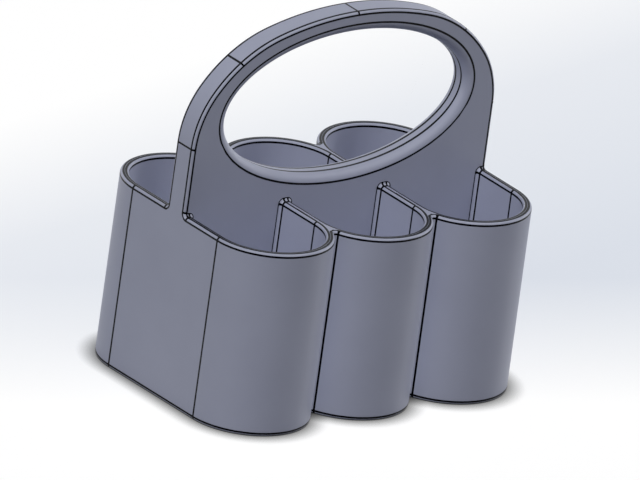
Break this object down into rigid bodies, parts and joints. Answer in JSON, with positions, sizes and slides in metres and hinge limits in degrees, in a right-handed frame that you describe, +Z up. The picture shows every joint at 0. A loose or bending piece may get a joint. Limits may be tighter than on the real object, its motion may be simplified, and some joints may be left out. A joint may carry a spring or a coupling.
{
  "type": "six pack carrier",
  "caption": "Moulded drinks carrier: two rows of round-ended cells on either side of a thick centre panel that rises into an arched handle with an oval hand hole.",
  "frame": {"origin": "on the ground, under the middle of the carrier", "axes": "+X along the handle and the rows of cells, to the right seen from the front row; +Y from the front row to the rear row; +Z up"},
  "size_m": [0.2352, 0.1692, 0.2434],
  "materials": {
    "moulded_plastic": "satin moulded, bluish grey"
  },
  "bodies": {
    "root": {"centre_panel": "moulded_plastic", "hand_hole_rim": "moulded_plastic", "front_wall": "moulded_plastic", "rear_wall": "moulded_plastic", "front_left_divider": "moulded_plastic", "front_right_divider": "moulded_plastic", "rear_left_divider": "moulded_plastic", "rear_right_divider": "moulded_plastic", "front_floor": "moulded_plastic", "rear_floor": "moulded_plastic"}
  },
  "joints": []
}
